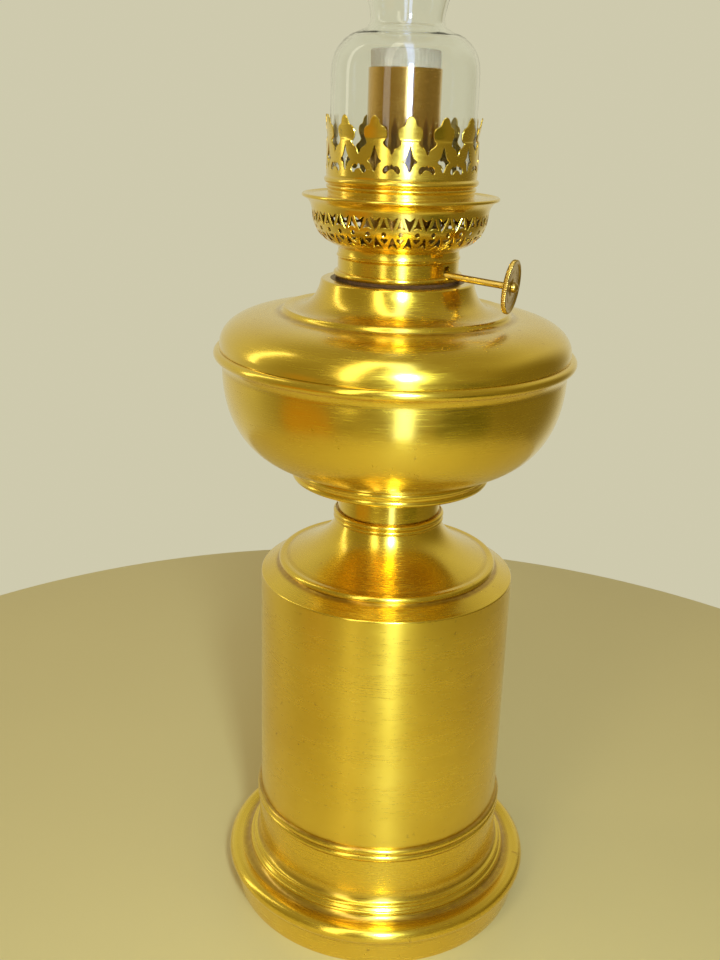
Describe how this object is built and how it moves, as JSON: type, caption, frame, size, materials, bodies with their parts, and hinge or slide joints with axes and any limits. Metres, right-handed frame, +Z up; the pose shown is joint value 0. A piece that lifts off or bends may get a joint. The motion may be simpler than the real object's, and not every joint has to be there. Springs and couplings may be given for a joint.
{
  "type": "table oil lamp",
  "caption": "Pillar table lamp for lamp oil: turned brass stand, lift-out round font, round-wick burner with pierced gallery and thumb-wheel wick raiser, clear glass chimney.",
  "frame": {"origin": "on the lamp's axis, at the level of the surface it stands on", "axes": "+Z up the lamp's axis, +X the way the wick raiser's spindle points to its thumb wheel, -Y the front, where a crown prong is centred"},
  "size_m": [0.1368, 0.1368, 0.5514],
  "materials": {
    "brass": "satin, turned, with fine rings round the axis",
    "aged_brass": "aged, slightly brown",
    "tube_brass": "drawn tube, heat-toned",
    "iron": "rough cast",
    "plate_steel": "plain sheet",
    "felt": "felt",
    "gasket": "matt",
    "cotton": "knitted cotton",
    "glass": "clear, polished"
  },
  "bodies": {
    "stand": {"foot_shell": "brass", "foot_bead": "brass", "pillar_tube": "brass", "pillar_cap": "brass", "neck_collar": "brass", "stem_socket": "aged_brass", "ballast_ring": "iron", "base_plate": "plate_steel", "base_screws": "plate_steel", "felt_ring": "felt"},
    "font": {"font_stem": "brass", "font_foot_ring": "brass", "font_bowl": "brass", "seam_bead": "brass", "font_dome": "brass", "burner_socket": "aged_brass"},
    "gasket": {"collar_gasket": "gasket"},
    "burner": {"burner_flange": "brass", "burner_case": "brass", "outer_wick_tube": "tube_brass", "inner_air_tube": "aged_brass", "air_duct": "aged_brass", "spindle_bracket": "aged_brass"},
    "spindle": {"spindle_shaft": "aged_brass", "pinion": "aged_brass", "thumb_wheel": "aged_brass", "wheel_rivet": "aged_brass"},
    "wick": {"wick": "cotton", "wick_carrier": "aged_brass", "wick_rack": "aged_brass", "wick_tails": "cotton"},
    "gallery": {"gallery_collar": "brass", "basket": "brass", "crown": "brass", "chimney_seat": "aged_brass"},
    "chimney": {"chimney": "glass"}
  },
  "joints": [
    {"name": "font_lift", "type": "slide", "parent": "stand", "child": "font", "axis": [0, 0, 1], "range_m": [0, 0.045]},
    {"name": "burner_rise", "type": "slide", "parent": "font", "child": "gasket", "axis": [0, 0, 1], "range_m": [0, 0.0045]},
    {"name": "burner_turn", "type": "hinge", "parent": "gasket", "child": "burner", "pos_m": [0, 0, 0.2621], "axis": [0, 0, 1], "range_deg": [0, 1080]},
    {"name": "spindle_turn", "type": "hinge", "parent": "burner", "child": "spindle", "pos_m": [0.02128, -0.007, 0.2648], "axis": [0.9962, 0, -0.0872], "range_deg": [-343.7, 114.5]},
    {"name": "wick_lift", "type": "slide", "parent": "burner", "child": "wick", "axis": [0, 0, 1], "range_m": [-0.018, 0.006]},
    {"name": "gallery_lift", "type": "slide", "parent": "burner", "child": "gallery", "axis": [0, 0, 1], "range_m": [0, 0.075]},
    {"name": "chimney_lift", "type": "slide", "parent": "gallery", "child": "chimney", "axis": [0, 0, 1], "range_m": [0, 0.05]}
  ],
  "couplings": [
    {"joint": "burner_rise", "follows": "burner_turn", "m_per_rad": 0.0002387},
    {"joint": "wick_lift", "follows": "spindle_turn", "m_per_rad": 0.003}
  ]
}
